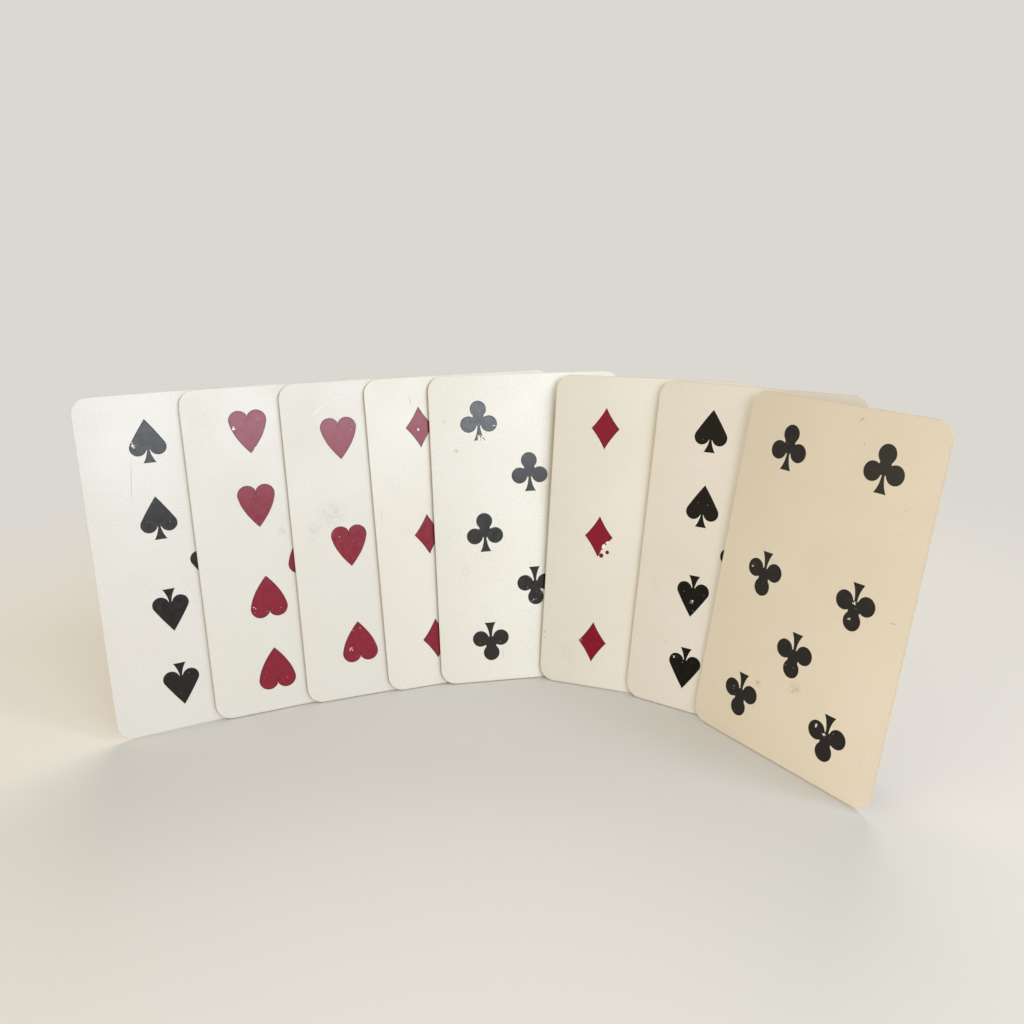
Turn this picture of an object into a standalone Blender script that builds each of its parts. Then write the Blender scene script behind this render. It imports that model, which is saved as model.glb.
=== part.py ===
import math

import bmesh
import bpy
from mathutils import Matrix, Vector

for old in list(bpy.data.objects):
    bpy.data.objects.remove(old, do_unlink=True)

mm = 0.001

# The card blank: pasteboard made of a face paper, a core and a back paper
card_width = 57.0 * mm
card_height = 91.0 * mm
corner_radius = 4.5 * mm
corner_steps = 6
paper_thickness = 0.10 * mm
core_thickness = 0.18 * mm
paste_line = 0.01 * mm
ink_height = 0.03 * mm
ink_root = 0.05 * mm
card_thickness = 2 * paper_thickness + core_thickness + 2 * paste_line

# How the row of cards stands
lean_back = math.radians(10.5)
card_clearance = 0.6 * mm

# The printed layout, measured from the middle of the card
column_three = 13.8 * mm
column_four = 11.3 * mm
row_three = 31.3 * mm
row_four_outer = 35.2 * mm
row_four_inner = 14.65 * mm
row_between = 15.5 * mm
row_center = 1.6 * mm

# Each suit mark: its width and height, how far it hangs below its row when upright,
# and how far it hangs in the middle row
marks = {
    "spade": {"width": 9.4 * mm, "height": 11.6 * mm, "drop": 2.05 * mm},
    "heart": {"width": 10.2 * mm, "height": 11.8 * mm, "drop": 1.9 * mm, "middle": 1.4 * mm},
    "diamond": {"width": 8.3 * mm, "height": 11.9 * mm},
    "club": {"width": 10.8 * mm, "height": 11.5 * mm, "drop": -1.6 * mm},
}

# The cards from left to right: name, suit, rank, turned upside down, heading in degrees,
# the share of its width that shows before the next card covers it,
# how far the printing sits off the middle: to the right, upwards, and turned in degrees,
# and how much wider than usual its columns stand
cards = [
    ("left_nine_of_spades", "spade", "nine", True, -27.0, 0.4456, 0.3 * mm, -0.1 * mm, 0.3, 0.0),
    ("nine_of_hearts", "heart", "nine", True, -24.0, 0.4421, 0.6 * mm, -0.15 * mm, 0.1, 0.4 * mm),
    ("six_of_hearts", "heart", "six", False, -20.5, 0.4088, 1.15 * mm, 0.1 * mm, 0.35, 0.0),
    ("seven_of_diamonds", "diamond", "seven", False, -19.5, 0.2737, 0.7 * mm, -0.25 * mm, 0.0, 0.0),
    ("eight_of_clubs", "club", "eight", False, -9.5, 0.5140, 0.6 * mm, -0.35 * mm, 0.8, 0.5 * mm),
    ("six_of_diamonds", "diamond", "six", False, 21.0, 0.4702, 0.8 * mm, -0.7 * mm, 0.2, 0.0),
    ("right_nine_of_spades", "spade", "nine", True, 35.0, 0.3807, -0.4 * mm, -0.3 * mm, 0.4, 0.0),
    ("seven_of_clubs", "club", "seven", True, 57.0, 1.0, 0.0, -0.35 * mm, 0.0, 0.0),
]

paper_color = {"face": (0.88, 0.85, 0.78), "core": (0.62, 0.54, 0.42), "back": (0.45, 0.10, 0.11)}


def collection_of(name, hidden):
    made = bpy.data.collections.new(name)
    made.hide_render = hidden
    bpy.context.scene.collection.children.link(made)
    return made


deck = collection_of("playing_cards", False)
helpers = collection_of("print_helpers", True)


def material_of(name, color):
    made = bpy.data.materials.new(name)
    made.use_nodes = True
    shader = made.node_tree.nodes["Principled BSDF"]
    shader.inputs["Base Color"].default_value = (*color, 1.0)
    shader.inputs["Roughness"].default_value = 0.5
    return made


def arc(center, radius, first, last, steps):
    points = []
    for step in range(steps + 1):
        angle = math.radians(first + (last - first) * step / steps)
        points.append((center[0] + radius * math.cos(angle), center[1] + radius * math.sin(angle)))
    return points


def swing(start, pull, end, steps):
    points = []
    for step in range(1, steps + 1):
        t = step / steps
        points.append(tuple(
            (1 - t) ** 2 * start[i] + 2 * t * (1 - t) * pull[i] + t * t * end[i] for i in (0, 1)
        ))
    return points


def mirrored(half):
    # The half runs down the right side, from the top of the centre line to its bottom
    left = [(-x, y) for x, y in reversed(half) if x > 1e-7]
    return half + left


def card_outline():
    r = corner_radius
    corners = [
        ((card_width - r, r), -90), ((card_width - r, card_height - r), 0),
        ((r, card_height - r), 90), ((r, r), 180),
    ]
    points = []
    for center, first in corners:
        points += arc(center, r, first, first + 90, corner_steps)
    return points


def diamond_half(w, h):
    # Straight-pointed lozenge with sides that bow slightly inwards
    side = (0.5 * w, 0.0)
    inward = 0.215
    upper = swing((0.0, 0.5 * h), (inward * w, inward * h), side, 3)
    lower = swing(side, (inward * w, -inward * h), (0.0, -0.5 * h), 3)
    return [(0.0, 0.5 * h)] + upper + lower


def heart_half(w, h):
    # Round lobes with a shallow notch, and full sides that run down to a point
    lobe = 0.265 * w
    center = (0.5 * w - lobe, 0.5 * h - lobe)
    notch = (0.0, 0.34 * h)
    round_lobe = arc(center, lobe, 148, -18, 6)
    tail = swing(round_lobe[-1], (0.40 * w, -0.13 * h), (0.0, -0.5 * h), 4)
    return [notch] + round_lobe + tail


def spade_half(w, h):
    # Pointed shoulders, round lobes, and a stem that flares to a flat foot
    lobe = 0.23 * w
    center = (0.5 * w - lobe, -0.145 * h)
    round_lobe = arc(center, lobe, 38, -165, 7)
    shoulder = swing((0.0, 0.5 * h), (0.26 * w, 0.22 * h), round_lobe[0], 4)
    stem_top = (0.035 * w, -0.215 * h)
    stem = swing(stem_top, (0.07 * w, -0.38 * h), (0.175 * w, -0.5 * h), 3)
    return [(0.0, 0.5 * h)] + shoulder + round_lobe[1:] + [stem_top] + stem


def club_half(w, h):
    # Three round lobes that meet in a notch, and a flared stem
    lobe = 0.22 * w
    notch = (0.14 * w, 0.095 * h)
    upper_lobe = arc((0.0, 0.5 * h - lobe), lobe, 90, -46, 6)
    side_lobe = arc((0.5 * w - lobe, -0.088 * h), lobe, 122, -168, 10)
    stem_top = (0.035 * w, -0.135 * h)
    stem = swing(stem_top, (0.05 * w, -0.36 * h), (0.155 * w, -0.5 * h), 3)
    return upper_lobe + [notch] + side_lobe + [stem_top] + stem


halves = {"diamond": diamond_half, "heart": heart_half, "spade": spade_half, "club": club_half}


def layout_of(rank, mark, spread):
    # Places of the marks as column, height and whether upright
    drop = mark.get("drop", 0.0)
    if rank == "nine":
        column = column_four + spread
        rows = [(row_four_outer - drop, True), (row_four_inner - drop, True)]
        rows += [(drop - row_four_inner, False), (drop - row_four_outer, False)]
        middle = [(row_center, True)]
    else:
        column = column_three + spread
        rows = [(row_three - drop, True), (-mark.get("middle", 0.0), True), (drop - row_three, False)]
        middle = [(row_between - drop, True), (drop - row_between, False)]
        middle = middle[:{"six": 0, "seven": 1, "eight": 2}[rank]]
    return [(x, *row) for x in (-column, column) for row in rows] + [(0.0, *row) for row in middle]


def flat_curve(name, outlines, thickness, low):
    # Closed flat outlines filled on both sides, from height low up by the thickness
    curve = bpy.data.curves.new(name, "CURVE")
    curve.dimensions = "2D"
    curve.fill_mode = "BOTH"
    curve.extrude = thickness / 2
    for outline in outlines:
        spline = curve.splines.new("POLY")
        spline.points.add(len(outline) - 1)
        spline.use_cyclic_u = True
        for point, (x, y) in zip(spline.points, outline):
            point.co = (x, y, 0.0, 1.0)
    made = bpy.data.objects.new(name, curve)
    made.location.z = low + thickness / 2
    helpers.objects.link(made)
    bpy.context.view_layer.update()
    return made


def solid_of(name, outlines, thickness, low, group):
    curve = flat_curve(name + "_outline", outlines, thickness, low)
    graph = bpy.context.evaluated_depsgraph_get()
    mesh = bpy.data.meshes.new_from_object(curve.evaluated_get(graph))
    mesh.transform(curve.matrix_world)
    bpy.data.objects.remove(curve, do_unlink=True)
    sheet = bmesh.new()
    sheet.from_mesh(mesh)
    bmesh.ops.remove_doubles(sheet, verts=sheet.verts, dist=1e-7)
    bmesh.ops.recalc_face_normals(sheet, faces=sheet.faces)
    sheet.to_mesh(mesh)
    sheet.free()
    mesh.name = name
    made = bpy.data.objects.new(name, mesh)
    group.objects.link(made)
    return made


def print_marks(name, suit, rank, turned, offset, spread, face):
    # The marks stand a little proud of the face paper and are joined to it
    mark = marks[suit]
    shape = mirrored(halves[suit](mark["width"], mark["height"]))
    turn = math.pi if turned else 0.0
    place = Matrix.Translation((card_width / 2, card_height / 2, 0.0)) @ offset @ Matrix.Rotation(turn, 4, "Z")
    outlines = []
    for x, y, upright in layout_of(rank, mark, spread):
        way = 1 if upright else -1
        outlines.append([(place @ Vector((x + way * px, y + way * py, 0.0)))[:2] for px, py in shape])
    ink = solid_of(name + "_marks", outlines, ink_root + ink_height, -ink_root, helpers)
    ink.hide_render = True
    ink.display_type = "WIRE"
    join = face.modifiers.new("printed marks", "BOOLEAN")
    join.operation = "UNION"
    join.solver = "EXACT"
    join.object = ink
    return ink


# The frame of every card: right along its foot, up along its long side, and out of its face
frames = []
foot = Vector((0.0, 0.0, 0.0))
for name, suit, rank, turned, heading, showing, *print_offset in cards:
    angle = math.radians(heading)
    right = Vector((math.cos(angle), -math.sin(angle), 0.0))
    ahead = Vector((-math.sin(angle), -math.cos(angle), 0.0))
    up = Vector((0.0, 0.0, math.cos(lean_back))) - ahead * math.sin(lean_back)
    out = right.cross(up)
    frame = Matrix.Translation(foot) @ Matrix((right, up, out)).transposed().to_4x4()
    frames.append(frame)
    foot = foot + right * showing * card_width + ahead * (card_thickness + card_clearance) / math.cos(lean_back)

# The row is centred over its origin and stands on the plane through it
outline = card_outline()
corners = [f @ Vector((x, y, z)) for f in frames for x, y in outline for z in (0.0, -card_thickness)]
low = Vector([min(c[i] for c in corners) for i in range(3)])
high = Vector([max(c[i] for c in corners) for i in range(3)])
home = Matrix.Translation(Vector((-(low.x + high.x) / 2, -(low.y + high.y) / 2, -low.z)))

# Each card is built flat, layer by layer, and then stood in its place
layers = [
    ("face", paper_thickness, -paper_thickness),
    ("core", core_thickness, -paper_thickness - paste_line - core_thickness),
    ("back", paper_thickness, -card_thickness),
]
for (name, suit, rank, turned, heading, showing, shift_right, shift_up, tilt, spread), frame in zip(cards, frames):
    offset = Matrix.Translation((shift_right, shift_up, 0.0)) @ Matrix.Rotation(math.radians(tilt), 4, "Z")
    for layer, thickness, low_side in layers:
        node = f"{name}_{layer}"
        sheet = solid_of(node, [outline], thickness, low_side, deck)
        sheet.data.materials.append(material_of(node + "_paper", paper_color[layer]))
        sheet.matrix_world = home @ frame
        if layer == "face":
            ink = print_marks(name, suit, rank, turned, offset, spread, sheet)
            ink.matrix_world = home @ frame
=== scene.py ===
import math

import bpy
from mathutils import Matrix, Vector


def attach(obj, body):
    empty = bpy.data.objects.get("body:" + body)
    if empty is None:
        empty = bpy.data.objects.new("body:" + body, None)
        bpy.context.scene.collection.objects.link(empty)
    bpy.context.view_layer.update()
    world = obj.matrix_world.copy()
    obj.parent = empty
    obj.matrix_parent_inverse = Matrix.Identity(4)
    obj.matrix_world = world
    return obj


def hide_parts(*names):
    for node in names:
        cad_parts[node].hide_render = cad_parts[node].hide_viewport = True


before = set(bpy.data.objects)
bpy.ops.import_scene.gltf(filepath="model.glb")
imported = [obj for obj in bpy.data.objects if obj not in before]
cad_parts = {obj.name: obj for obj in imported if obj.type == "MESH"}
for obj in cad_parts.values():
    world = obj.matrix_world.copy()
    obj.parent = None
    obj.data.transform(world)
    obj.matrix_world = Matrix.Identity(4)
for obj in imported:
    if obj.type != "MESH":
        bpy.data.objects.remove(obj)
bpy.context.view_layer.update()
print("frame loaded, nodes:", len(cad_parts))

mm = 0.001

# the blank that every card is cut to, in mm
cardBlank = {
    "width": 57.0,
    "height": 91.0,
    "cornerRadius": 4.5,
    "cornerSegments": 16,
    "paper": 0.10,
    "core": 0.18,
    "paste": 0.01,
    "edgeRound": 0.07,    # the outer edges are worn round
    "edgeSegments": 4,
    "smoothAngle": 35,    # degrees
}
cardBlank["thickness"] = 2 * cardBlank["paper"] + cardBlank["core"] + 2 * cardBlank["paste"]

# one entry per card, left to right:
# heading, degrees that the card faces to the viewer's left
# shows, the part of its width that the next card leaves open
# printOffset, how the printing sits: mm to the right, mm up, degrees turned, mm that each column is wider
# inkSheen and glaze, how strongly ink and paper shine; fibre, how much fibre shows; seed, where wear falls
# paintedLeftShade, painted shade that darkens the paper towards its left side in place of uneven light
# across the card: mm that it reaches, share at the side
# places of wear and painted glints, mm from the card's lower left corner: smudge x, y, radius, strength,
# colour;
# scratch x1, y1, x2, y2, width, strength, colour; flakesAndGlints x, y, radius, share turned to the bare
# paper colour, partly ink flaked off and partly painted glints on the ink; inkDot x, y, radius
cards = [
    {"name": "left_nine_of_spades", "suit": "spade", "rank": "nine", "turned": True, "heading": -27.0,
     "shows": 0.4456, "printOffset": (0.3, -0.1, 0.3, 0.0), "tint": "#e0ded9", "inkSheen": 0.31,
     "seed": 1.3, "paintedLeftShade": (6.0, 0.04), "glaze": 0.52, "fibre": 0.34,
     "smudges": [(9.0, 40.0, 6.0, 0.10, "#b9b09c"), (19.0, 9.0, 5.0, 0.08, "#b9a98c")],
     "scratches": [(12.9, 75.5, 11.3, 61.7, 0.16, 0.45, "#8d897f")],
     "flakesAndGlints": [(13.6, 77.7, 1.5, 0.42)]},
    {"name": "nine_of_hearts", "suit": "heart", "rank": "nine", "turned": True, "heading": -24.0,
     "shows": 0.4421, "printOffset": (0.6, -0.15, 0.1, 0.4), "tint": "#dedcd5", "inkSheen": 0.37,
     "seed": 4.7, "paintedLeftShade": (6.0, 0.0), "glaze": 0.52, "fibre": 0.32,
     "smudges": [(23.1, 50.1, 1.6, 0.70, "#a59f86"), (6.1, 84.2, 0.5, 0.5, "#8c8577"),
                 (12.0, 52.0, 5.0, 0.10, "#b4ad9a")],
     "scratches": [],
     "flakesAndGlints": [(13.5, 79.8, 1.0, 0.50), (18.9, 74.0, 0.7, 0.8), (13.6, 30.0, 0.8, 0.35)]},
    {"name": "six_of_hearts", "suit": "heart", "rank": "six", "turned": False, "heading": -20.5,
     "shows": 0.4088, "printOffset": (1.15, 0.1, 0.35, 0.0), "tint": "#dddbd4", "inkSheen": 0.38,
     "seed": 8.1, "paintedLeftShade": (6.0, 0.0), "glaze": 0.52, "fibre": 0.30,
     "smudges": [(11.5, 53.6, 5.5, 0.42, "#a8a18b"), (6.2, 50.0, 2.8, 0.38, "#a09880"),
                 (5.2, 47.3, 1.6, 0.30, "#a09880")],
     "scratches": [(7.8, 81.1, 13.0, 85.2, 0.22, 0.40, "#fbfaf6"),
                   (13.0, 85.2, 18.0, 87.1, 0.18, 0.25, "#fbfaf6")],
     "flakesAndGlints": [(13.3, 14.0, 1.2, 0.35)]},
    {"name": "seven_of_diamonds", "suit": "diamond", "rank": "seven", "turned": False, "heading": -19.5,
     "shows": 0.2737, "printOffset": (0.7, -0.25, 0.0, 0.0), "tint": "#e2dfd6", "inkSheen": 0.36,
     "seed": 12.9, "paintedLeftShade": (12.0, 0.09), "glaze": 0.56, "fibre": 0.30,
     "smudges": [(6.0, 60.0, 4.0, 0.14, "#b3ab93"), (9.0, 48.0, 3.0, 0.10, "#b3ab93")],
     "scratches": [(12.9, 86.1, 13.5, 82.4, 0.20, 0.55, "#8f8873"),
                   (2.4, 55.0, 2.0, 49.0, 0.14, 0.35, "#9b937d")],
     "flakesAndGlints": [(14.9, 75.8, 0.45, 0.85)]},
    {"name": "eight_of_clubs", "suit": "club", "rank": "eight", "turned": False, "heading": -9.5,
     "shows": 0.5140, "printOffset": (0.6, -0.35, 0.8, 0.5), "tint": "#edece6", "inkSheen": 0.47,
     "seed": 17.2, "paintedLeftShade": (27.0, 0.25), "glaze": 0.30, "fibre": 0.36,
     "smudges": [(7.4, 69.2, 1.1, 0.40, "#98927f"), (4.2, 77.8, 1.2, 0.26, "#a59d89"),
                 (8.5, 33.7, 2.6, 0.18, "#a59d89")],
     "scratches": [(18.8, 10.6, 18.6, 5.5, 0.16, 0.40, "#9a927c"),
                   (6.9, 70.0, 8.0, 68.6, 0.18, 0.5, "#8b8471")],
     "flakesAndGlints": [(14.7, 72.6, 1.7, 0.62), (18.8, 76.2, 1.2, 0.34), (28.9, 23.7, 1.2, 0.3)]},
    {"name": "six_of_diamonds", "suit": "diamond", "rank": "six", "turned": False, "heading": 21.0,
     "shows": 0.4702, "printOffset": (0.8, -0.7, 0.2, 0.0), "tint": "#e7e5dd", "inkSheen": 0.12,
     "seed": 22.6, "paintedLeftShade": (27.0, 0.26), "glaze": 0.36, "fibre": 0.24,
     "smudges": [(7.0, 9.5, 4.0, 0.16, "#a39a8e"), (9.6, 7.2, 2.2, 0.16, "#b58f86")],
     "scratches": [(0.3, 14.6, 1.5, 14.4, 0.20, 0.55, "#8e7c62"),
                   (0.4, 12.8, 1.4, 12.7, 0.20, 0.55, "#8e7c62")],
     "flakesAndGlints": [(18.7, 42.9, 1.3, 1.0), (17.4, 41.9, 1.1, 0.95), (17.1, 40.6, 0.9, 0.9),
                (12.2, 13.4, 0.6, 0.5)],
     "inkDots": [(18.35, 40.4, 0.55), (16.6, 39.3, 0.66)]},
    {"name": "right_nine_of_spades", "suit": "spade", "rank": "nine", "turned": True, "heading": 35.0,
     "shows": 0.3807, "printOffset": (-0.4, -0.3, 0.4, 0.0), "tint": "#e4e0d9", "inkSheen": 0.08,
     "seed": 27.4, "paintedLeftShade": (16.0, 0.13), "glaze": 0.36, "fibre": 0.24,
     "smudges": [(10.9, 18.4, 0.5, 0.6, "#7d735f"), (6.0, 33.0, 4.0, 0.10, "#a99c80")],
     "scratches": [(16.2, 11.5, 18.6, 11.1, 0.18, 0.3, "#b9ad96")],
     "flakesAndGlints": [(17.0, 31.2, 0.9, 0.45), (13.8, 14.6, 1.0, 0.35)]},
    {"name": "seven_of_clubs", "suit": "club", "rank": "seven", "turned": True, "heading": 57.0,
     "shows": 1.0, "printOffset": (0.0, -0.35, 0.0, 0.0), "tint": "#f1e8d9", "inkSheen": 0.32,
     "seed": 31.8, "paintedLeftShade": (54.0, 0.28), "glaze": 0.36, "fibre": 0.18,
     "smudges": [(19.6, 17.4, 1.5, 0.60, "#a38f6b"), (30.8, 20.3, 2.6, 0.48, "#a08c68"),
                 (35.6, 82.8, 0.45, 0.7, "#857352"), (49.4, 64.5, 0.45, 0.7, "#857352"),
                 (49.8, 70.0, 0.6, 0.45, "#857352"), (29.0, 52.0, 7.0, 0.08, "#b29c78")],
     "scratches": [(33.0, 87.4, 34.6, 88.8, 0.22, 0.5, "#8b7a5c"),
                   (51.6, 44.5, 54.0, 44.9, 0.2, 0.4, "#97845f")],
     "flakesAndGlints": [(42.1, 46.2, 0.9, 0.5), (41.6, 41.9, 0.7, 0.5), (10.7, 46.3, 0.8, 0.4),
                (41.5, 12.8, 0.9, 0.45), (39.0, 14.2, 0.7, 0.6), (26.9, 25.1, 0.6, 0.35),
                (29.3, 23.5, 0.6, 0.35), (12.2, 13.1, 0.7, 0.3)]},
]


def linearColor(hexCode):
    # sRGB hex to the linear values that the shader takes
    parts = [int(hexCode[i:i + 2], 16) / 255 for i in (1, 3, 5)]
    return tuple(c / 12.92 if c <= 0.04045 else ((c + 0.055) / 1.055) ** 2.4 for c in parts) + (1.0,)


def addNode(tree, kind, inputs=None, **settings):
    # inputs go by name or number and take another node's output, a hex colour or a plain value
    made = tree.nodes.new("ShaderNode" + kind)
    for key, value in settings.items():
        setattr(made, key, value)
    for key, value in (inputs or {}).items():
        if isinstance(value, bpy.types.NodeSocket):
            tree.links.new(value, made.inputs[key])
        else:
            made.inputs[key].default_value = linearColor(value) if isinstance(value, str) else value
    return made.outputs


def newMaterial(name):
    made = bpy.data.materials.new(name)
    made.use_nodes = True
    tree = made.node_tree
    return made, tree, tree.nodes["Principled BSDF"]


def cardPlace(tree):
    # place on the card in mm, from its lower left corner
    flat = addNode(tree, "UVMap", uv_map="cardFace")[0]
    size = (cardBlank["width"], cardBlank["height"], 1.0)
    return addNode(tree, "VectorMath", {0: flat, 1: size}, operation="MULTIPLY")[0]


def wearPlace(tree, place, card, stride):
    # the same place moved far off by the card's own seed, so that no two cards wear alike
    away = (card["seed"] * stride[0], card["seed"] * stride[1], 0.0)
    return addNode(tree, "VectorMath", {0: place, 1: away}, operation="ADD")[0]


def edgeDistance(tree, place):
    # mm to the nearest straight edge of the card
    split = addNode(tree, "SeparateXYZ", {0: place})
    across = addNode(tree, "Math", {0: split[0], 1: cardBlank["width"] / 2}, operation="PINGPONG")[0]
    upward = addNode(tree, "Math", {0: split[1], 1: cardBlank["height"] / 2}, operation="PINGPONG")[0]
    return addNode(tree, "Math", {0: across, 1: upward}, operation="MINIMUM")[0]


wearLook = {
    "wobble": {"Scale": 0.55, "Detail": 3.0, "Roughness": 0.6},     # a wave to every 1.8 mm
    "wobbleMiddle": (0.5, 0.5, 0.5),
    "wobbleReach": (1.1, 1.1, 0.0),     # mm
    "grit": {"Scale": 1 / 1.3, "Detail": 5.0, "Roughness": 0.7},    # patches of 1.3 mm
    "gritMask": {"From Min": 0.40, "From Max": 0.66},
    "smudgeHeart": 0.2,     # the part of a smudge's radius that has its full strength
    "scratchFade": {"From Min": 0.2, "From Max": 0.5},      # in parts of its length and of twice its width
}


def addWear(tree, color, place, spot, card):
    # rubbed dirt lies in broken patches with an uneven outline, scratches are thin lines
    look = wearLook
    wobble = addNode(tree, "TexNoise", {"Vector": spot, **look["wobble"]})["Color"]
    shift = addNode(tree, "VectorMath", {0: wobble, 1: look["wobbleMiddle"]}, operation="SUBTRACT")[0]
    sway = addNode(tree, "VectorMath", {0: shift, 1: look["wobbleReach"]}, operation="MULTIPLY")[0]
    wobbly = addNode(tree, "VectorMath", {0: place, 1: sway}, operation="ADD")[0]
    grit = addNode(tree, "TexNoise", {"Vector": spot, **look["grit"]})[0]
    patch = addNode(tree, "MapRange", {"Value": grit, **look["gritMask"]})[0]
    for x, y, radius, strength, shade in card["smudges"]:
        away = addNode(tree, "VectorMath", {0: wobbly, 1: (x, y, 0.0)}, operation="DISTANCE")["Value"]
        fade = {"From Min": radius * look["smudgeHeart"], "From Max": radius,
                "To Min": strength, "To Max": 0.0}
        mask = addNode(tree, "MapRange", {"Value": away, **fade}, interpolation_type="SMOOTHSTEP")[0]
        broken = addNode(tree, "Math", {0: mask, 1: patch}, operation="MULTIPLY")[0]
        color = addNode(tree, "Mix", {0: broken, 6: color, 7: shade}, data_type="RGBA")[2]
    for x1, y1, x2, y2, width, strength, shade in card["scratches"]:
        along = Vector((x2 - x1, y2 - y1))
        lie = {"Location": ((x1 + x2) / 2, (y1 + y2) / 2, 0.0),
               "Rotation": (0.0, 0.0, math.atan2(along.y, along.x)),
               "Scale": (along.length, width * 2, 1.0)}
        turned = addNode(tree, "Mapping", {"Vector": place, **lie}, vector_type="TEXTURE")[0]
        away = addNode(tree, "VectorMath", {0: turned}, operation="LENGTH")["Value"]
        fade = {**look["scratchFade"], "To Min": strength, "To Max": 0.0}
        mask = addNode(tree, "MapRange", {"Value": away, **fade}, interpolation_type="SMOOTHSTEP")[0]
        color = addNode(tree, "Mix", {0: mask, 6: color, 7: shade}, data_type="RGBA")[2]
    return color


paperLook = {
    "seedStride": (37, 11),
    "cloud": {"Scale": 1 / 26.0, "Detail": 4.0, "Roughness": 0.55},     # 26 mm, uneven ageing of the glaze
    "cloudMask": {"From Min": 0.35, "From Max": 0.75, "To Max": 0.16},
    "clouded": "#cfc3a8",
    # 0.6 mm; real fibres are finer, drawn this coarse so that they show
    "fibre": {"Scale": 1 / 0.6, "Detail": 5.0, "Roughness": 0.7},
    "fibreMask": {"From Min": 0.40, "From Max": 0.72},
    "fibred": "#c4bba6",
    # colour of the painted shade laid on the card's left side
    "paintedShadeColor": "#b6b0a0",
    "edgeToned": "#c2ab86",
    "edgeFade": {"From Max": 0.45, "To Min": 0.25, "To Max": 0.0},      # mm from the edge, share of the tone
    "gloss": {"From Min": 0.3, "From Max": 0.7, "To Min": 0.29, "To Max": 0.41},
    "ior": 1.50,
    "bump": {"Strength": 0.12, "Distance": 0.04 * mm},
}


def enamelledPaper(card):
    # clay coated, calendered card paper: a soft even sheen, ivory with age, browned at the handled edges;
    # painted shade darkens its left side
    look = paperLook
    made, tree, shader = newMaterial(card["name"] + "_enamelled_paper")
    place = cardPlace(tree)
    spot = wearPlace(tree, place, card, look["seedStride"])
    cloud = addNode(tree, "TexNoise", {"Vector": spot, **look["cloud"]})[0]
    clouds = addNode(tree, "MapRange", {"Value": cloud, **look["cloudMask"]})[0]
    color = addNode(tree, "Mix", {0: clouds, 6: card["tint"], 7: look["clouded"]}, data_type="RGBA")[2]
    fibre = addNode(tree, "TexNoise", {"Vector": spot, **look["fibre"]})[0]
    fibres = addNode(tree, "MapRange", {"Value": fibre, **look["fibreMask"], "To Max": card["fibre"]})[0]
    color = addNode(tree, "Mix", {0: fibres, 6: color, 7: look["fibred"]}, data_type="RGBA")[2]
    # painted shade: the paper darkens from the left side inward, standing in for uneven light across the
    # card
    reach, share = card["paintedLeftShade"]
    across = addNode(tree, "SeparateXYZ", {0: place})[0]
    leftShadeFade = {"From Max": reach, "To Min": share, "To Max": 0.0}
    leftShadeMask = addNode(tree, "MapRange", {"Value": across, **leftShadeFade})[0]
    color = addNode(tree, "Mix", {0: leftShadeMask, 6: color, 7: look["paintedShadeColor"]}, data_type="RGBA")[2]
    handled = {"Value": edgeDistance(tree, place), **look["edgeFade"]}
    browned = addNode(tree, "MapRange", handled, interpolation_type="SMOOTHERSTEP")[0]
    color = addNode(tree, "Mix", {0: browned, 6: color, 7: look["edgeToned"]}, data_type="RGBA")[2]
    color = addWear(tree, color, place, spot, card)
    tree.links.new(color, shader.inputs["Base Color"])
    gloss = addNode(tree, "MapRange", {"Value": cloud, **look["gloss"]})[0]
    tree.links.new(gloss, shader.inputs["Roughness"])
    shader.inputs["IOR"].default_value = look["ior"]
    shader.inputs["Specular IOR Level"].default_value = card["glaze"]
    bump = addNode(tree, "Bump", {"Height": fibre, **look["bump"]})[0]
    tree.links.new(bump, shader.inputs["Normal"])
    return made


inkLook = {
    "red": {"color": "#800f28", "worn": "#8e1830", "rim": "#600b1c"},
    "black": {"color": "#14100b", "worn": "#221d17", "rim": "#0d0a07"},
    "seedStride": (13, 29),
    "mottle": {"Scale": 1 / 1.6, "Detail": 5.0, "Roughness": 0.6},      # 1.6 mm, uneven take of the ink
    "mottleMask": {"From Min": 0.4, "From Max": 0.75, "To Max": 0.45},
    "chips": {"Scale": 1 / 0.55, "Detail": 3.0, "Roughness": 0.55},     # 0.55 mm, where the ink has let go
    "flakeAndGlintHeart": 0.3,      # the part of a flake's or painted glint's radius at its full share
    "chipLevel": {"To Min": 0.71, "To Max": 0.24},      # noise above this takes the bare paper colour, from none of a flake or painted glint to all of it
    "chipEdge": {"From Max": 0.035},
    # the bare paper colour where ink has flaked off, also used for painted glints on the ink
    "bareAndGlint": "#f1ece0",
    "gloss": {"From Min": 0.3, "From Max": 0.75, "To Min": 0.16, "To Max": 0.30},
    "ior": 1.50,
    "bump": {"Strength": 0.2, "Distance": 0.03 * mm},
}


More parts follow.
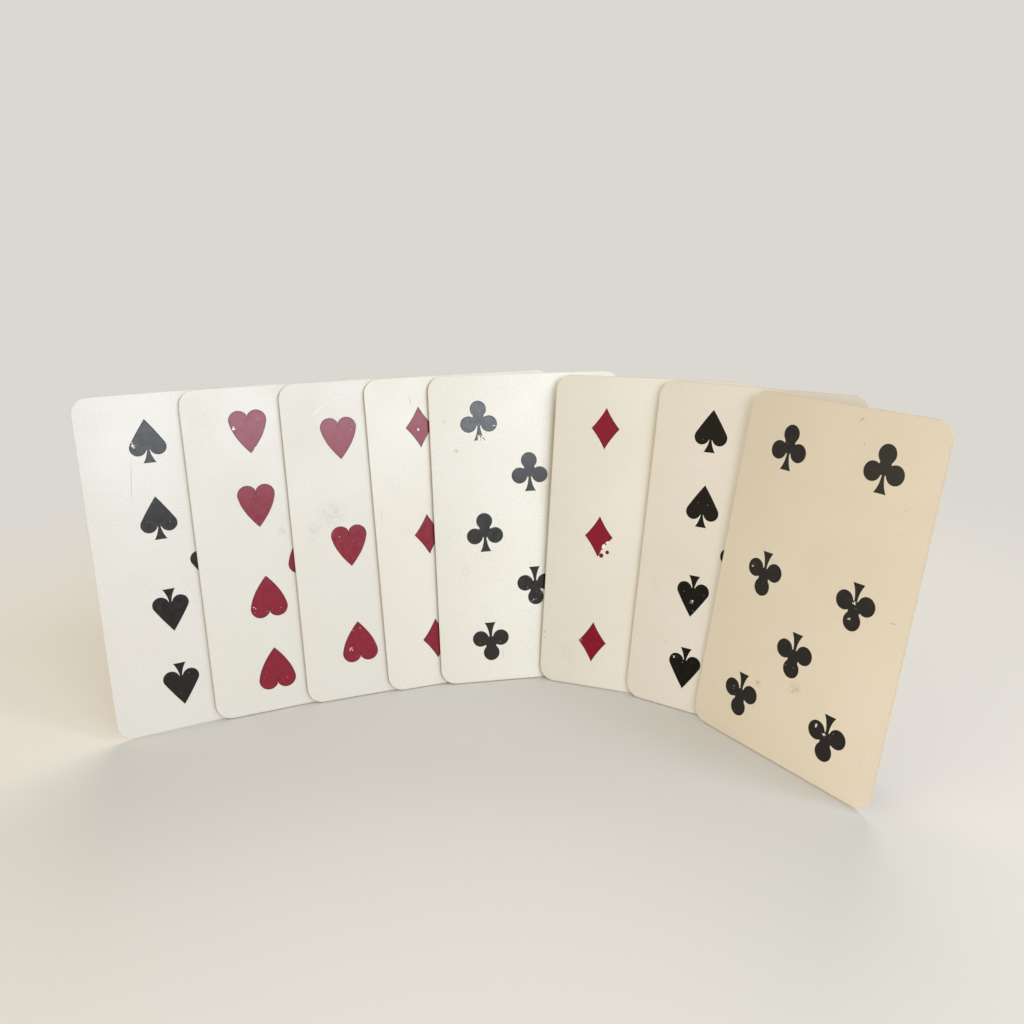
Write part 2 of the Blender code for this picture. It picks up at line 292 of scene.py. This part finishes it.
def printingInk(card):
    # oil based letterpress ink: a glossy, slightly uneven film that chips off the glazed paper in flakes;
    # some pale flecks are painted glints
    look = inkLook
    ink = look[suitMarks[card["suit"]]["ink"]]
    made, tree, shader = newMaterial(card["name"] + "_letterpress_ink")
    place = cardPlace(tree)
    spot = wearPlace(tree, place, card, look["seedStride"])
    mottle = addNode(tree, "TexNoise", {"Vector": spot, **look["mottle"]})[0]
    worn = addNode(tree, "MapRange", {"Value": mottle, **look["mottleMask"]})[0]
    color = addNode(tree, "Mix", {0: worn, 6: ink["color"], 7: ink["worn"]}, data_type="RGBA")[2]
    rim = addNode(tree, "Attribute", attribute_name="inkRim")["Fac"]
    color = addNode(tree, "Mix", {0: rim, 6: color, 7: ink["rim"]}, data_type="RGBA")[2]
    chips = addNode(tree, "TexNoise", {"Vector": spot, **look["chips"]})[0]
    # pale flecks at the listed places: partly ink flaked off to the bare paper, partly painted glints on the
    # ink
    flakeAndGlintShare = 0.0
    for x, y, radius, share in card["flakesAndGlints"]:
        away = addNode(tree, "VectorMath", {0: place, 1: (x, y, 0.0)}, operation="DISTANCE")["Value"]
        fade = {"From Min": radius * look["flakeAndGlintHeart"], "From Max": radius, "To Min": share, "To Max": 0.0}
        flakeAndGlint = addNode(tree, "MapRange", {"Value": away, **fade})[0]
        flakeAndGlintShare = addNode(tree, "Math", {0: flakeAndGlintShare, 1: flakeAndGlint}, operation="MAXIMUM")[0]
    level = addNode(tree, "MapRange", {"Value": flakeAndGlintShare, **look["chipLevel"]})[0]
    above = addNode(tree, "Math", {0: chips, 1: level}, operation="SUBTRACT")[0]
    bareAndGlint = addNode(tree, "MapRange", {"Value": above, **look["chipEdge"]})[0]
    color = addNode(tree, "Mix", {0: bareAndGlint, 6: color, 7: look["bareAndGlint"]}, data_type="RGBA")[2]
    tree.links.new(color, shader.inputs["Base Color"])
    gloss = addNode(tree, "MapRange", {"Value": mottle, **look["gloss"]})[0]
    tree.links.new(gloss, shader.inputs["Roughness"])
    shader.inputs["IOR"].default_value = look["ior"]
    shader.inputs["Specular IOR Level"].default_value = card["inkSheen"]
    height = addNode(tree, "Math", {0: mottle, 1: bareAndGlint}, operation="SUBTRACT")[0]
    bump = addNode(tree, "Bump", {"Height": height, **look["bump"]})[0]
    tree.links.new(bump, shader.inputs["Normal"])
    return made


coreLook = {
    "color": "#ece2cd", "dark": "#c6b38e",
    "grain": {"Scale": 1 / (0.35 * mm), "Detail": 4.0},     # flecks of 0.35 mm, on places in metres
    "grainMask": {"From Min": 0.35, "From Max": 0.7},
    "roughness": 0.85,
    "bump": {"Strength": 0.3, "Distance": 0.03 * mm},
}


def pastedCore(card):
    # rag and pulp sheets pasted together, seen only at the cut edge: dull, cream flecked with tan
    look = coreLook
    made, tree, shader = newMaterial(card["name"] + "_pasted_core")
    place = addNode(tree, "TexCoord")["Object"]
    grain = addNode(tree, "TexNoise", {"Vector": place, **look["grain"]})[0]
    flecks = addNode(tree, "MapRange", {"Value": grain, **look["grainMask"]})[0]
    color = addNode(tree, "Mix", {0: flecks, 6: look["color"], 7: look["dark"]}, data_type="RGBA")[2]
    tree.links.new(color, shader.inputs["Base Color"])
    shader.inputs["Roughness"].default_value = look["roughness"]
    bump = addNode(tree, "Bump", {"Height": grain, **look["bump"]})[0]
    tree.links.new(bump, shader.inputs["Normal"])
    return made


backLook = {
    "ground": "#e3d8c2", "clouded": "#c9b792", "ink": "#7d1f2a",
    "border": 4.2, "borderLine": 0.45, "borderSpread": 0.08,    # mm; spread is the soft edge of the print
    "lattice": 4.2, "latticeLine": 0.5, "dot": 0.75, "latticeSpread": 0.1, "latticeTurn": 45,
    "seedStride": (19, 23),
    "wear": {"Scale": 1 / 1.1, "Detail": 6.0, "Roughness": 0.65},   # 1.1 mm, rubbed print
    "wearMask": {"From Min": 0.35, "From Max": 0.62, "To Min": 0.62, "To Max": 0.95},
    "cloud": {"Scale": 1 / 22.0, "Detail": 4.0},                    # 22 mm, uneven ageing
    "cloudMask": {"From Min": 0.35, "From Max": 0.75, "To Max": 0.35},
    "edgeFade": {"From Max": 0.7, "To Min": 0.3, "To Max": 0.0},
    "roughness": 0.45,
    "bump": {"Strength": 0.08, "Distance": 0.04 * mm},
}


def latticeBack(card):
    # the plain crossed lattice of old card backs, one red printing on glazed paper, inside a bare border
    look = backLook
    made, tree, shader = newMaterial(card["name"] + "_printed_back")
    place = cardPlace(tree)
    middle = (cardBlank["width"] / 2, cardBlank["height"] / 2, 0.0)
    centred = addNode(tree, "VectorMath", {0: place, 1: middle}, operation="SUBTRACT")[0]
    turn = (0.0, 0.0, math.radians(look["latticeTurn"]))
    turned = addNode(tree, "Mapping", {"Vector": centred, "Rotation": turn})[0]
    split = addNode(tree, "SeparateXYZ", {0: turned})
    cell = look["lattice"] / 2
    toLines = [addNode(tree, "Math", {0: split[axis], 1: cell}, operation="PINGPONG")[0] for axis in (0, 1)]
    toLine = addNode(tree, "Math", {0: toLines[0], 1: toLines[1]}, operation="MINIMUM")[0]
    inCell = addNode(tree, "CombineXYZ", {0: toLines[0], 1: toLines[1]})[0]
    toDot = addNode(tree, "VectorMath", {0: inCell, 1: (cell, cell, 0.0)}, operation="DISTANCE")["Value"]
    edge = edgeDistance(tree, place)
    fromBorder = addNode(tree, "Math", {0: edge, 1: look["border"]}, operation="SUBTRACT")[0]
    toBorder = addNode(tree, "Math", {0: fromBorder}, operation="ABSOLUTE")[0]
    prints = []
    for away, half, spread in ((toLine, look["latticeLine"], look["latticeSpread"]),
                               (toDot, look["dot"], look["latticeSpread"]),
                               (toBorder, look["borderLine"] / 2, look["borderSpread"])):
        fade = {"From Min": half, "From Max": half + spread, "To Min": 1.0, "To Max": 0.0}
        prints.append(addNode(tree, "MapRange", {"Value": away, **fade})[0])
    pattern = addNode(tree, "Math", {0: prints[0], 1: prints[1]}, operation="MAXIMUM")[0]
    inner = {"From Min": look["border"], "From Max": look["border"] + look["borderSpread"]}
    inside = addNode(tree, "MapRange", {"Value": edge, **inner})[0]
    pattern = addNode(tree, "Math", {0: pattern, 1: inside}, operation="MULTIPLY")[0]
    printed = addNode(tree, "Math", {0: pattern, 1: prints[2]}, operation="MAXIMUM")[0]
    spot = wearPlace(tree, place, card, look["seedStride"])
    wear = addNode(tree, "TexNoise", {"Vector": spot, **look["wear"]})[0]
    kept = addNode(tree, "MapRange", {"Value": wear, **look["wearMask"]})[0]
    inked = addNode(tree, "Math", {0: printed, 1: kept}, operation="MULTIPLY")[0]
    cloud = addNode(tree, "TexNoise", {"Vector": spot, **look["cloud"]})[0]
    clouds = addNode(tree, "MapRange", {"Value": cloud, **look["cloudMask"]})[0]
    color = addNode(tree, "Mix", {0: clouds, 6: look["ground"], 7: look["clouded"]}, data_type="RGBA")[2]
    color = addNode(tree, "Mix", {0: inked, 6: color, 7: look["ink"]}, data_type="RGBA")[2]
    handled = {"Value": edge, **look["edgeFade"]}
    browned = addNode(tree, "MapRange", handled, interpolation_type="SMOOTHERSTEP")[0]
    color = addNode(tree, "Mix", {0: browned, 6: color, 7: paperLook["edgeToned"]}, data_type="RGBA")[2]
    tree.links.new(color, shader.inputs["Base Color"])
    shader.inputs["Roughness"].default_value = look["roughness"]
    shader.inputs["IOR"].default_value = paperLook["ior"]
    bump = addNode(tree, "Bump", {"Height": wear, **look["bump"]})[0]
    tree.links.new(bump, shader.inputs["Normal"])
    return made


# suit marks: size in mm, how far the mark hangs below its row and below the middle row, and which ink;
# then the shape, in parts of the width and the height, with arcs as first and last degree and steps
suitMarks = {
    "spade": {"width": 9.4, "height": 11.6, "drop": 2.05, "middle": 0.0, "ink": "black",
              "lobe": 0.23, "lobeUp": -0.145, "lobeArc": (38, -165, 26),
              "sidePull": (0.26, 0.22), "sideSteps": 14,
              "stemTop": (0.035, -0.215), "stemPull": (0.07, -0.38), "stemFoot": (0.175, -0.5),
              "stemSteps": 9},
    "heart": {"width": 10.2, "height": 11.8, "drop": 1.9, "middle": 1.4, "ink": "red",
              "lobe": 0.265, "lobeArc": (148, -18, 22), "notch": (0.0, 0.34),
              "sidePull": (0.40, -0.13), "sideSteps": 14},
    "diamond": {"width": 8.3, "height": 11.9, "drop": 0.0, "middle": 0.0, "ink": "red",
                "upperPull": (0.215, 0.215), "lowerPull": (0.215, -0.215), "sideSteps": 10},
    "club": {"width": 10.8, "height": 11.5, "drop": -1.6, "middle": 0.0, "ink": "black",
             "lobe": 0.22, "upperArc": (90, -46, 20), "neck": (0.14, 0.095),
             "lobeUp": -0.088, "lobeArc": (122, -168, 34),
             "stemTop": (0.035, -0.135), "stemPull": (0.05, -0.36), "stemFoot": (0.155, -0.5),
             "stemSteps": 9},
}


def arc(center, radius, first, last, steps):
    angles = [math.radians(first + (last - first) * i / steps) for i in range(steps + 1)]
    return [(center[0] + radius * math.cos(a), center[1] + radius * math.sin(a)) for a in angles]


def swing(start, pull, end, steps):
    # a curve from start to end that leans towards pull; the start itself is left out
    points = []
    for t in [i / steps for i in range(1, steps + 1)]:
        shares = ((1 - t) ** 2, 2 * t * (1 - t), t * t)
        points.append(tuple(shares[0] * start[i] + shares[1] * pull[i] + shares[2] * end[i] for i in (0, 1)))
    return points


def onMark(mark, part):
    return (part[0] * mark["width"], part[1] * mark["height"])


def markStem(mark):
    # the foot that spades and clubs stand on
    top, pull, foot = [onMark(mark, mark[key]) for key in ("stemTop", "stemPull", "stemFoot")]
    return [top] + swing(top, pull, foot, mark["stemSteps"])


# the right half of each mark, from its top or notch down to its foot
def diamondHalf(mark):
    top, side, foot = [onMark(mark, part) for part in ((0.0, 0.5), (0.5, 0.0), (0.0, -0.5))]
    upper = swing(top, onMark(mark, mark["upperPull"]), side, mark["sideSteps"])
    lower = swing(side, onMark(mark, mark["lowerPull"]), foot, mark["sideSteps"])
    return [top] + upper + lower


def heartHalf(mark):
    lobe = mark["lobe"] * mark["width"]
    roundLobe = arc((mark["width"] / 2 - lobe, mark["height"] / 2 - lobe), lobe, *mark["lobeArc"])
    foot = onMark(mark, (0.0, -0.5))
    side = swing(roundLobe[-1], onMark(mark, mark["sidePull"]), foot, mark["sideSteps"])
    return [onMark(mark, mark["notch"])] + roundLobe + side


def spadeHalf(mark):
    lobe = mark["lobe"] * mark["width"]
    roundLobe = arc((mark["width"] / 2 - lobe, mark["lobeUp"] * mark["height"]), lobe, *mark["lobeArc"])
    top = onMark(mark, (0.0, 0.5))
    shoulder = swing(top, onMark(mark, mark["sidePull"]), roundLobe[0], mark["sideSteps"])
    return [top] + shoulder + roundLobe[1:] + markStem(mark)


def clubHalf(mark):
    lobe = mark["lobe"] * mark["width"]
    upperLobe = arc((0.0, mark["height"] / 2 - lobe), lobe, *mark["upperArc"])
    sideLobe = arc((mark["width"] / 2 - lobe, mark["lobeUp"] * mark["height"]), lobe, *mark["lobeArc"])
    return upperLobe + [onMark(mark, mark["neck"])] + sideLobe + markStem(mark)


markHalves = {"diamond": diamondHalf, "heart": heartHalf, "spade": spadeHalf, "club": clubHalf}

# the printed layout in mm from the middle of the card, and how many marks stand between the columns
printPlan = {
    "columnThree": 13.8, "columnFour": 11.3,
    "rowThree": 31.3, "rowFourOuter": 35.2, "rowFourInner": 14.65, "rowBetween": 15.5, "rowCenter": 1.6,
    "between": {"six": 0, "seven": 1, "eight": 2},
}


def markPlaces(card):
    # column, height and whether upright, for every mark of the card
    plan, mark = printPlan, suitMarks[card["suit"]]
    drop = mark["drop"]
    spread = card["printOffset"][3]
    if card["rank"] == "nine":
        column = plan["columnFour"] + spread
        outer, inner = plan["rowFourOuter"] - drop, plan["rowFourInner"] - drop
        rows = [(outer, True), (inner, True), (-inner, False), (-outer, False)]
        middle = [(plan["rowCenter"], True)]
    else:
        column = plan["columnThree"] + spread
        outer, between = plan["rowThree"] - drop, plan["rowBetween"] - drop
        rows = [(outer, True), (-mark["middle"], True), (-outer, False)]
        middle = [(between, True), (-between, False)][:plan["between"][card["rank"]]]
    return [(x, *row) for x in (-column, column) for row in rows] + [(0.0, *row) for row in middle]


# how nearly a face has to point along the card's normal to count as a broad side, and as wholly flat
facing = {"broad": 0.9, "flat": 0.999}


def freshStart():
    if bpy.context.object and bpy.context.object.mode != "OBJECT":
        bpy.ops.object.mode_set(mode="OBJECT")
    bpy.ops.object.select_all(action="DESELECT")
    bpy.context.tool_settings.mesh_select_mode = (False, False, True)


def keepFlat(piece):
    # the broad sides take one normal all over, so that only the rim shades round
    for face in piece.data.polygons:
        face.select = abs(face.normal.z) > facing["flat"]
    bpy.ops.object.mode_set(mode="EDIT")
    bpy.ops.mesh.faces_shade_flat()
    bpy.ops.object.mode_set(mode="OBJECT")


def makeBlank(name, low, high, outerSide):
    # a plane cut to the card's size, its corners rounded, drawn up to its thickness; the outer edge is worn
    freshStart()
    w, h = cardBlank["width"] * mm, cardBlank["height"] * mm
    bpy.ops.mesh.primitive_plane_add(size=1.0, location=(0, 0, 0))
    piece = bpy.context.object
    piece.name = name
    piece.data.name = name
    piece.data.transform(Matrix.Translation((w / 2, h / 2, low * mm)) @ Matrix.Diagonal((w, h, 1.0, 1.0)))
    bpy.ops.object.mode_set(mode="EDIT")
    bpy.ops.mesh.select_all(action="SELECT")
    bpy.ops.mesh.bevel(offset=cardBlank["cornerRadius"] * mm, segments=cardBlank["cornerSegments"],
                       affect="VERTICES")
    bpy.ops.mesh.select_all(action="SELECT")
    bpy.ops.mesh.extrude_region_move(TRANSFORM_OT_translate={"value": (0, 0, (high - low) * mm)})
    bpy.ops.mesh.select_all(action="SELECT")
    bpy.ops.mesh.normals_make_consistent(inside=False)
    bpy.ops.object.mode_set(mode="OBJECT")
    if outerSide:
        for face in piece.data.polygons:
            face.select = face.normal.z * outerSide > facing["broad"]
        bpy.ops.object.mode_set(mode="EDIT")
        bpy.ops.mesh.bevel(offset=cardBlank["edgeRound"] * mm, segments=cardBlank["edgeSegments"],
                           affect="EDGES")
        bpy.ops.object.mode_set(mode="OBJECT")
    bpy.ops.object.shade_smooth_by_angle(angle=math.radians(cardBlank["smoothAngle"]))
    keepFlat(piece)
    return piece


inkFilm = {
    "root": 0.01, "film": 0.012,            # mm below and above the paper's face
    "rimWide": 0.09, "rimHigh": 0.034,      # ink squeezed out to the edge of the block stands in a low rim
    "rimInside": 0.16, "rimFall": 0.020,
    "dotSteps": 18,
    "mergeWithin": 0.0001, "flatWithin": 0.5, "smoothAngle": 40,     # mm, then degrees
}


def markOutlines(card):
    # the outline of every mark and loose speck of ink on the card, in mm
    mark = suitMarks[card["suit"]]
    half = markHalves[card["suit"]](mark)
    shape = half + [(-x, y) for x, y in reversed(half) if x > inkFilm["mergeWithin"]]
    right, upward, tilt = card["printOffset"][:3]
    turn = math.radians(tilt + (180 if card["turned"] else 0))
    center = Vector((cardBlank["width"] / 2 + right, cardBlank["height"] / 2 + upward, 0.0))
    onCard = Matrix.Translation(center) @ Matrix.Rotation(turn, 4, "Z")
    outlines = []
    for x, y, upright in markPlaces(card):
        way = 1 if upright else -1
        outlines.append([onCard @ Vector((x + way * px, y + way * py, 0.0)) for px, py in shape])
    for x, y, radius in card.get("inkDots", []):
        speck = arc((x, y), radius, 0, 360, inkFilm["dotSteps"])[:-1]
        outlines.append([Vector((*spot, 0.0)) for spot in speck])
    return outlines


def makeMarks(card):
    # every mark of the card on one flat filled curve, then a mesh whose rim is inset and raised
    freshStart()
    bpy.ops.curve.primitive_bezier_circle_add(location=(0, 0, 0))
    piece = bpy.context.object
    piece.name = card["name"] + "_marks"
    piece.data.dimensions = "2D"
    piece.data.fill_mode = "BOTH"
    piece.data.extrude = (inkFilm["root"] + inkFilm["film"]) * mm / 2
    piece.data.splines.clear()
    for outline in markOutlines(card):
        spline = piece.data.splines.new("POLY")
        spline.points.add(len(outline) - 1)
        spline.use_cyclic_u = True
        for point, spot in zip(spline.points, outline):
            point.co[:3] = spot * mm
    bpy.ops.object.convert(target="MESH")
    piece = bpy.context.object
    piece.data.transform(Matrix.Translation((0, 0, (inkFilm["film"] - inkFilm["root"]) * mm / 2)))
    bpy.ops.object.mode_set(mode="EDIT")
    bpy.ops.mesh.select_all(action="SELECT")
    bpy.ops.mesh.remove_doubles(threshold=inkFilm["mergeWithin"] * mm)
    bpy.ops.mesh.dissolve_limited(angle_limit=math.radians(inkFilm["flatWithin"]))
    bpy.ops.mesh.select_all(action="SELECT")
    bpy.ops.mesh.normals_make_consistent(inside=False)
    bpy.ops.object.mode_set(mode="OBJECT")
    for face in piece.data.polygons:
        face.select = face.normal.z > facing["broad"]
    bpy.ops.object.mode_set(mode="EDIT")
    bpy.ops.mesh.inset(thickness=inkFilm["rimWide"] * mm, depth=inkFilm["rimHigh"] * mm)
    bpy.ops.mesh.inset(thickness=inkFilm["rimInside"] * mm, depth=-inkFilm["rimFall"] * mm)
    bpy.ops.object.mode_set(mode="OBJECT")
    rim = piece.data.attributes.new("inkRim", "FLOAT", "FACE")
    for face in piece.data.polygons:
        rim.data[face.index].value = 0.0 if face.select else 1.0
    bpy.ops.object.shade_smooth_by_angle(angle=math.radians(inkFilm["smoothAngle"]))
    keepFlat(piece)
    return piece


def standUp(piece, place, material, body):
    # the card's own flat map, then its place in the row goes into the mesh
    maps = piece.data.uv_layers
    layer = maps[0] if maps else maps.new()
    layer.name = "cardFace"
    for loop in piece.data.loops:
        co = piece.data.vertices[loop.vertex_index].co
        layer.data[loop.index].uv = (co.x / (cardBlank["width"] * mm), co.y / (cardBlank["height"] * mm))
    piece.data.materials.clear()
    piece.data.materials.append(material)
    piece.data.transform(place)
    piece.data.update()
    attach(piece, body)


# how the row stands, as the solids have it: degrees, mm between cards, steps that a corner is measured in
rowPlan = {"leanBack": 10.5, "clearance": 0.6, "cornerSteps": 6}

# the frame of every card, worked out along the row
places = []
foot = Vector((0.0, 0.0, 0.0))
lean = math.radians(rowPlan["leanBack"])
step = (cardBlank["thickness"] + rowPlan["clearance"]) * mm / math.cos(lean)
for card in cards:
    heading = math.radians(card["heading"])
    right = Vector((math.cos(heading), -math.sin(heading), 0.0))
    ahead = Vector((-math.sin(heading), -math.cos(heading), 0.0))
    up = Vector((0.0, 0.0, math.cos(lean))) - ahead * math.sin(lean)
    places.append(Matrix.Translation(foot) @ Matrix((right, up, right.cross(up))).transposed().to_4x4())
    foot = foot + right * card["shows"] * cardBlank["width"] * mm + ahead * step

# the row is centred and stands on the ground, so its box is measured first
radius = cardBlank["cornerRadius"]
boxPoints = []
for x, y in arc((0.0, 0.0), radius, 0, 90, rowPlan["cornerSteps"]):
    for cardX in (radius - x, cardBlank["width"] - radius + x):
        for cardY in (radius - y, cardBlank["height"] - radius + y):
            for depth in (0.0, -cardBlank["thickness"]):
                boxPoints += [place @ Vector((cardX * mm, cardY * mm, depth * mm)) for place in places]
lowCorner = Vector([min(point[i] for point in boxPoints) for i in range(3)])
highCorner = Vector([max(point[i] for point in boxPoints) for i in range(3)])
home = Matrix.Translation((-(lowCorner.x + highCorner.x) / 2, -(lowCorner.y + highCorner.y) / 2,
                           -lowCorner.z))
print("row measured, width mm:", round((highCorner.x - lowCorner.x) / mm, 1))

paper, core, paste, thick = [cardBlank[key] for key in ("paper", "core", "paste", "thickness")]
for card, place in zip(cards, places):
    name = card["name"]
    stand = home @ place
    face = makeBlank(name + "_printed_face", -paper, 0.0, 1)
    marks = makeMarks(card)
    middle = makeBlank(name + "_pasted_middle", -paper - paste - core, -paper - paste, 0)
    back = makeBlank(name + "_printed_back", -thick, -thick + paper, -1)
    standUp(face, stand, enamelledPaper(card), name)
    standUp(marks, stand, printingInk(card), name)
    standUp(middle, stand, pastedCore(card), name)
    standUp(back, stand, latticeBack(card), name)
    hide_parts(name + "_face")
    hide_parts(name + "_core")
    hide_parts(name + "_back")
    print("card made:", name)

# floor and light in metres; lamp places are degrees right of the front, degrees up and metres away
stageLook = {
    "floor": "#d9d9d7", "floorSize": 6.0, "floorDrop": 0.0002, "floorRoughness": 0.9,
    "floorFade": {"From Min": 0.12, "From Max": 0.34, "To Min": 1.0, "To Max": 0.0},
    "worldColor": "#fff0d6", "worldStrength": 0.39, "backdrop": "#dbd8d2",
    "aim": (0.0, 0.0, 0.05),
    "lamps": [
        {"name": "windowPanel", "power": 4.1, "around": 28.0, "up": 19.5, "away": 0.85, "size": (0.55, 0.30),
         "color": "#e8f2ff"},
        {"name": "sidePanel", "power": 0.9, "around": 66.0, "up": 41.0, "away": 0.62, "size": (0.13, 0.22),
         "color": "#e0edff"},
        {"name": "roomPanel", "power": 2.2, "around": -60.0, "up": 22.0, "away": 0.70, "size": (0.8, 0.6),
         "color": "#ffefd0"},
        {"name": "backPanel", "power": 5.6, "around": 172.0, "up": 40.0, "away": 0.95, "size": (0.9, 0.5),
         "color": "#fff7ec"},
    ],
}

# matt painted board: a dull surface that takes the soft shadow and runs out into the backdrop
freshStart()
bpy.ops.mesh.primitive_plane_add(size=stageLook["floorSize"], location=(0, 0, -stageLook["floorDrop"]))
floor = bpy.context.object
floor.name = "studioFloor"
floorPaint, floorTree, floorShader = newMaterial("matt_studio_floor")
floorShader.inputs["Base Color"].default_value = linearColor(stageLook["floor"])
floorShader.inputs["Roughness"].default_value = stageLook["floorRoughness"]
floorSpot = addNode(floorTree, "TexCoord")["Object"]
floorAway = addNode(floorTree, "VectorMath", {0: floorSpot}, operation="LENGTH")["Value"]
runOut = {"Value": floorAway, **stageLook["floorFade"]}
floorAlpha = addNode(floorTree, "MapRange", runOut, interpolation_type="SMOOTHSTEP")[0]
floorTree.links.new(floorAlpha, floorShader.inputs["Alpha"])
floor.data.materials.append(floorPaint)

# the world lights the row softly, and shows the plain backdrop to the camera and in reflections
world = bpy.data.worlds.new("softStudio")
bpy.context.scene.world = world
world.use_nodes = True
worldTree = world.node_tree
worldShade = worldTree.nodes["Background"]
worldShade.inputs["Color"].default_value = linearColor(stageLook["worldColor"])
worldShade.inputs["Strength"].default_value = stageLook["worldStrength"]
backdrop = addNode(worldTree, "Background", {"Color": stageLook["backdrop"], "Strength": 1.0})[0]
rays = addNode(worldTree, "LightPath")
mirrorRays = {0: rays["Is Glossy Ray"], 1: rays["Is Transmission Ray"]}
mirrored = addNode(worldTree, "Math", mirrorRays, operation="MAXIMUM")[0]
seen = addNode(worldTree, "Math", {0: rays["Is Camera Ray"], 1: mirrored}, operation="MAXIMUM")[0]
worldMix = addNode(worldTree, "MixShader", {0: seen, 1: worldShade.outputs[0], 2: backdrop})[0]
worldTree.links.new(worldMix, worldTree.nodes["World Output"].inputs[0])

for lampLook in stageLook["lamps"]:
    lamp = bpy.data.lights.new(lampLook["name"], "AREA")
    lamp.shape = "RECTANGLE"
    lamp.size, lamp.size_y = lampLook["size"]
    lamp.energy = lampLook["power"]
    lamp.color = linearColor(lampLook["color"])[:3]
    around, upward = math.radians(lampLook["around"]), math.radians(lampLook["up"])
    level = math.cos(upward)
    toLamp = Vector((level * math.sin(around), -level * math.cos(around), math.sin(upward)))
    holder = bpy.data.objects.new(lampLook["name"], lamp)
    holder.location = Vector(stageLook["aim"]) + toLamp * lampLook["away"]
    holder.rotation_euler = toLamp.to_track_quat("Z", "Y").to_euler()
    bpy.context.scene.collection.objects.link(holder)
print("floor and lamps set:", len(stageLook["lamps"]))

# the viewing angle worked out from the card edges: mm from the left card's lower left corner, degrees,
# and the focal length in pixels of a picture of that width
cameraPlan = {
    "at": (105.08, -225.0, 128.62), "pitch": 16.34, "roll": -0.572, "focal": 947.96, "picture": 1024,
    "sensor": 36.0, "nearest": 0.01,
}
view = bpy.data.cameras.new("photoView")
view.sensor_width = cameraPlan["sensor"]
view.lens = cameraPlan["focal"] / cameraPlan["picture"] * cameraPlan["sensor"]
view.clip_start = cameraPlan["nearest"]
eye = bpy.data.objects.new("photoView", view)
eye.location = home @ (Vector(cameraPlan["at"]) * mm)
pitch = Matrix.Rotation(math.radians(90 - cameraPlan["pitch"]), 3, "X")
roll = Matrix.Rotation(math.radians(cameraPlan["roll"]), 3, "Z")
eye.rotation_euler = (pitch @ roll).to_euler()
bpy.context.scene.collection.objects.link(eye)
bpy.context.scene.camera = eye
bpy.context.scene.view_settings.view_transform = "Standard"
print("camera set")
